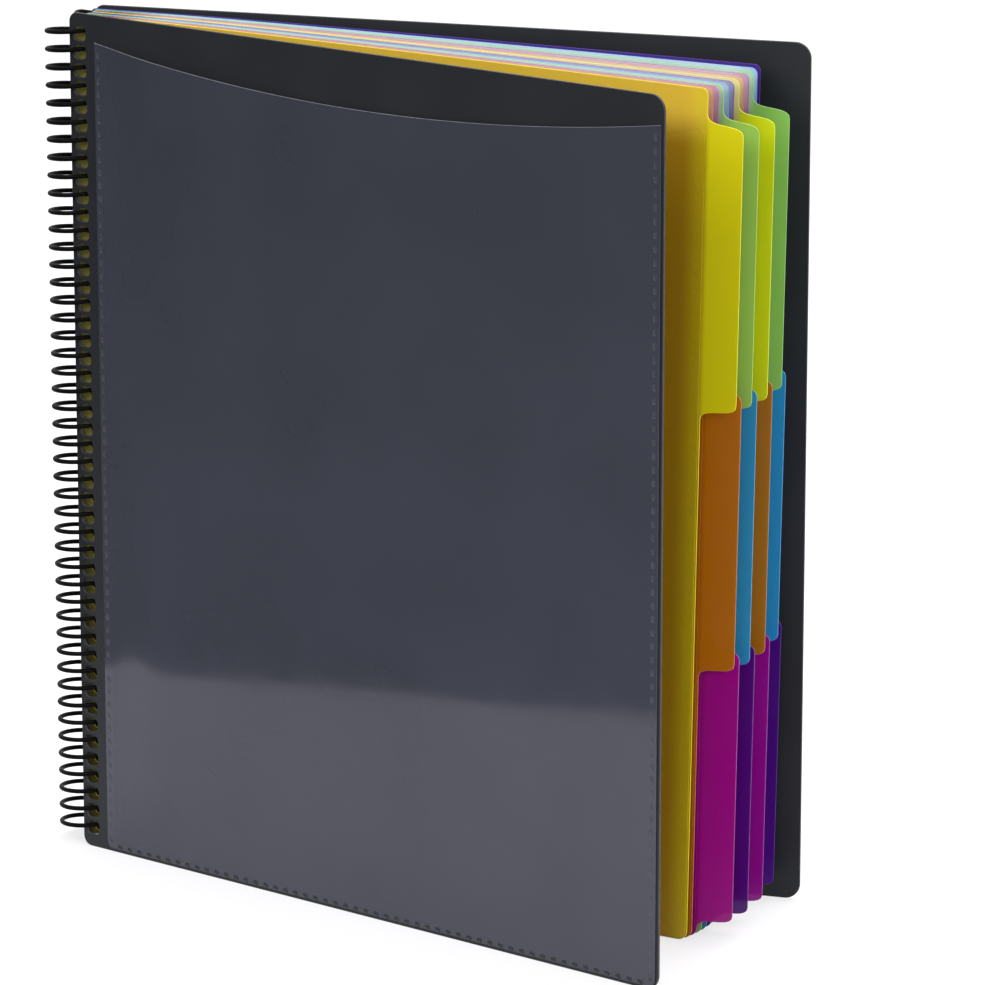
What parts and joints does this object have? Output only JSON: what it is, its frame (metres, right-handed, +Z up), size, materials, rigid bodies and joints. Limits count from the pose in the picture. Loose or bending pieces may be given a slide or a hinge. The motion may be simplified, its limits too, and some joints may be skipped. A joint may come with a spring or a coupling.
{
  "type": "project organizer folder",
  "caption": "Spiral-bound project organizer folder with charcoal poly covers, a clear front pocket and translucent tabbed pocket dividers that turn on a plastic binding coil.",
  "frame": {"origin": "on the standing surface, under the middle of the fanned folder's box", "axes": "+Z up along the spine; the back cover lies along +X from the spine; the front cover faces -Y"},
  "size_m": [0.271, 0.1124, 0.3],
  "materials": {
    "cover_poly": "charcoal polypropylene sheet with a fine satin grain",
    "pocket_vinyl": "clear glossy vinyl with welded, stitch-like edges",
    "coil_plastic": "black extruded plastic wire, satin gloss",
    "poly_yellow": "translucent yellow poly sheet, frosted",
    "poly_orange": "translucent orange poly sheet, frosted",
    "poly_magenta": "translucent magenta poly sheet, frosted",
    "poly_green": "translucent green poly sheet, frosted",
    "poly_blue": "translucent blue poly sheet, frosted",
    "poly_purple": "translucent purple poly sheet, frosted"
  },
  "bodies": {
    "back_cover": {"back_cover": "cover_poly", "binding_coil": "coil_plastic"},
    "divider_12": {"divider_12_sheet": "poly_purple", "divider_12_front_pocket": "poly_purple", "divider_12_back_pocket": "poly_purple"},
    "divider_11": {"divider_11_sheet": "poly_blue", "divider_11_front_pocket": "poly_blue", "divider_11_back_pocket": "poly_blue"},
    "divider_10": {"divider_10_sheet": "poly_green", "divider_10_front_pocket": "poly_green", "divider_10_back_pocket": "poly_green"},
    "divider_09": {"divider_09_sheet": "poly_magenta", "divider_09_front_pocket": "poly_magenta", "divider_09_back_pocket": "poly_magenta"},
    "divider_08": {"divider_08_sheet": "poly_orange", "divider_08_front_pocket": "poly_orange", "divider_08_back_pocket": "poly_orange"},
    "divider_07": {"divider_07_sheet": "poly_yellow", "divider_07_front_pocket": "poly_yellow", "divider_07_back_pocket": "poly_yellow"},
    "divider_06": {"divider_06_sheet": "poly_purple", "divider_06_front_pocket": "poly_purple", "divider_06_back_pocket": "poly_purple"},
    "divider_05": {"divider_05_sheet": "poly_blue", "divider_05_front_pocket": "poly_blue", "divider_05_back_pocket": "poly_blue"},
    "divider_04": {"divider_04_sheet": "poly_green", "divider_04_front_pocket": "poly_green", "divider_04_back_pocket": "poly_green"},
    "divider_03": {"divider_03_sheet": "poly_magenta", "divider_03_front_pocket": "poly_magenta", "divider_03_back_pocket": "poly_magenta"},
    "divider_02": {"divider_02_sheet": "poly_orange", "divider_02_front_pocket": "poly_orange", "divider_02_back_pocket": "poly_orange"},
    "divider_01": {"divider_01_sheet": "poly_yellow", "divider_01_front_pocket": "poly_yellow", "divider_01_back_pocket": "poly_yellow"},
    "front_cover": {"front_cover": "cover_poly", "front_cover_pocket": "pocket_vinyl"}
  },
  "joints": [
    {"name": "divider_12_turn", "type": "hinge", "parent": "back_cover", "child": "divider_12", "pos_m": [-0.12361, 0.04431, 0.15], "axis": [0, 0, -1], "range_deg": [-1.6, 6]},
    {"name": "divider_11_turn", "type": "hinge", "parent": "divider_12", "child": "divider_11", "pos_m": [-0.12361, 0.04431, 0.15], "axis": [0, 0, -1], "range_deg": [-1.25, 6]},
    {"name": "divider_10_turn", "type": "hinge", "parent": "divider_11", "child": "divider_10", "pos_m": [-0.12361, 0.04431, 0.15], "axis": [0, 0, -1], "range_deg": [-1.15, 6]},
    {"name": "divider_09_turn", "type": "hinge", "parent": "divider_10", "child": "divider_09", "pos_m": [-0.12361, 0.04431, 0.15], "axis": [0, 0, -1], "range_deg": [-1.05, 6]},
    {"name": "divider_08_turn", "type": "hinge", "parent": "divider_09", "child": "divider_08", "pos_m": [-0.12361, 0.04431, 0.15], "axis": [0, 0, -1], "range_deg": [-0.95, 6]},
    {"name": "divider_07_turn", "type": "hinge", "parent": "divider_08", "child": "divider_07", "pos_m": [-0.12361, 0.04431, 0.15], "axis": [0, 0, -1], "range_deg": [-0.85, 6]},
    {"name": "divider_06_turn", "type": "hinge", "parent": "divider_07", "child": "divider_06", "pos_m": [-0.12361, 0.04431, 0.15], "axis": [0, 0, -1], "range_deg": [-0.75, 6]},
    {"name": "divider_05_turn", "type": "hinge", "parent": "divider_06", "child": "divider_05", "pos_m": [-0.12361, 0.04431, 0.15], "axis": [0, 0, -1], "range_deg": [-0.65, 6]},
    {"name": "divider_04_turn", "type": "hinge", "parent": "divider_05", "child": "divider_04", "pos_m": [-0.12361, 0.04431, 0.15], "axis": [0, 0, -1], "range_deg": [-0.55, 6]},
    {"name": "divider_03_turn", "type": "hinge", "parent": "divider_04", "child": "divider_03", "pos_m": [-0.12361, 0.04431, 0.15], "axis": [0, 0, -1], "range_deg": [-0.45, 6]},
    {"name": "divider_02_turn", "type": "hinge", "parent": "divider_03", "child": "divider_02", "pos_m": [-0.12361, 0.04431, 0.15], "axis": [0, 0, -1], "range_deg": [-0.35, 6]},
    {"name": "divider_01_turn", "type": "hinge", "parent": "divider_02", "child": "divider_01", "pos_m": [-0.12361, 0.04431, 0.15], "axis": [0, 0, -1], "range_deg": [-0.25, 6]},
    {"name": "front_cover_turn", "type": "hinge", "parent": "divider_01", "child": "front_cover", "pos_m": [-0.12361, 0.04431, 0.15], "axis": [0, 0, -1], "range_deg": [-11.15, 57]}
  ]
}
